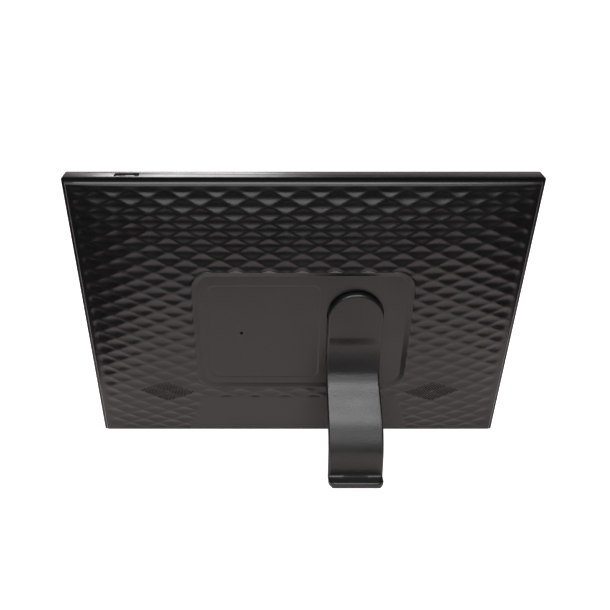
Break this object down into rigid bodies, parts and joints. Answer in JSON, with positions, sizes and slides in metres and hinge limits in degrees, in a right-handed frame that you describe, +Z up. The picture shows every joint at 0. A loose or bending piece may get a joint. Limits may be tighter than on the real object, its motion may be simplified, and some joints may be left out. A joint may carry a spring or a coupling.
{
  "type": "digital photo frame",
  "caption": "Ten-inch digital photo frame with a quilted rear cover, square label recess, two speaker grilles and a swivelling curved stand.",
  "frame": {"origin": "centre of the bounding box on the surface that the frame stands on", "axes": "+Z up, screen faces -Y and leans back 14 degrees, +X to the right of someone facing the screen"},
  "size_m": [0.262, 0.0802, 0.178],
  "materials": {
    "black_plastic": "satin moulded ABS",
    "cover_plastic": "satin moulded ABS with a quilted relief",
    "stand_plastic": "fine spark-eroded satin ABS",
    "glass": "polished touch glass",
    "screen": "unlit display",
    "steel": "stamped sheet",
    "backlight_tray": "pressed sheet tray",
    "screw_steel": "machine screws",
    "circuit_board": "green solder mask",
    "chip_black": "moulded package",
    "thermal_rubber": "soft pad",
    "antenna_foil": "copper on film",
    "cable_grey": "thin jacket",
    "connector_white": "moulded nylon",
    "ribbon_amber": "polyimide film",
    "speaker_plastic": "moulded case",
    "cone_black": "rubber and paper cone",
    "foam_black": "closed-cell foam",
    "wire_red": "thin insulated pair",
    "washer_plastic": "low-friction plastic",
    "pad_rubber": "matte rubber"
  },
  "bodies": {
    "housing": {"front_bezel": "black_plastic", "touch_glass": "glass", "lcd_panel": "screen", "backlight_unit": "backlight_tray", "display_brackets": "steel", "bracket_screws": "screw_steel", "rear_cover": "cover_plastic", "main_board": "circuit_board", "processor": "chip_black", "memory_chips": "chip_black", "thermal_pad": "thermal_rubber", "shield_can": "steel", "wifi_module": "steel", "wifi_antenna": "antenna_foil", "antenna_cable": "cable_grey", "board_connectors": "connector_white", "board_screws": "screw_steel", "display_ribbon": "ribbon_amber", "touch_ribbon": "ribbon_amber", "speaker_left": "speaker_plastic", "speaker_right": "speaker_plastic", "speaker_cones": "cone_black", "speaker_gaskets": "foam_black", "speaker_screws": "screw_steel", "speaker_wires": "wire_red", "button_board": "circuit_board", "button_board_screws": "screw_steel", "button_wires": "wire_red", "power_switch": "chip_black", "reset_switch": "chip_black", "power_inlet": "steel", "card_socket": "steel", "stand_washer": "washer_plastic", "base_pads": "pad_rubber"},
    "stand": {"stand": "stand_plastic", "stand_retainer": "steel", "retainer_screws": "screw_steel", "foot_pad": "pad_rubber"},
    "power_button": {"power_button": "black_plastic", "power_plunger": "connector_white"},
    "reset_plunger": {"reset_plunger": "connector_white"}
  },
  "joints": [
    {"name": "stand_swivel", "type": "hinge", "parent": "housing", "child": "stand", "pos_m": [-0.032, 0.00178, 0.09393], "axis": [0, 0.9703, -0.2419], "range_deg": [0, 90]},
    {"name": "power_press", "type": "slide", "parent": "housing", "child": "power_button", "axis": [0, -0.2419, -0.9703], "range_m": [0, 0.0004], "stiffness_N_per_m": 2000},
    {"name": "reset_press", "type": "slide", "parent": "housing", "child": "reset_plunger", "axis": [0, -0.9703, 0.2419], "range_m": [0, 0.0003], "stiffness_N_per_m": 2000}
  ]
}
